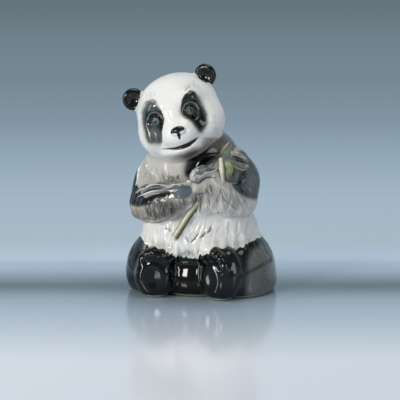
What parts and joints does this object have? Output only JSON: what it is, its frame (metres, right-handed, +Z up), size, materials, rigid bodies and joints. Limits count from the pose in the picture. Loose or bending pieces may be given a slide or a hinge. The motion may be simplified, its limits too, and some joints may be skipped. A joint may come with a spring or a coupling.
{
  "type": "panda figurine",
  "caption": "Seated panda cast in glazed porcelain, its head tilted to one side, both forepaws holding a leafy sprig of bamboo against the chest.",
  "frame": {"origin": "centre of the bounding box at its underside, on the surface that the figurine stands on", "axes": "+Z is up; the panda faces -Y; +X is towards the animal's left, the viewer's right"},
  "size_m": [0.1131, 0.0981, 0.1682],
  "materials": {
    "glazed_porcelain": "clear gloss glaze over white porcelain, with airbrushed and painted black, grey and olive underglaze colour"
  },
  "bodies": {
    "root": {"panda": "glazed_porcelain"}
  },
  "joints": []
}
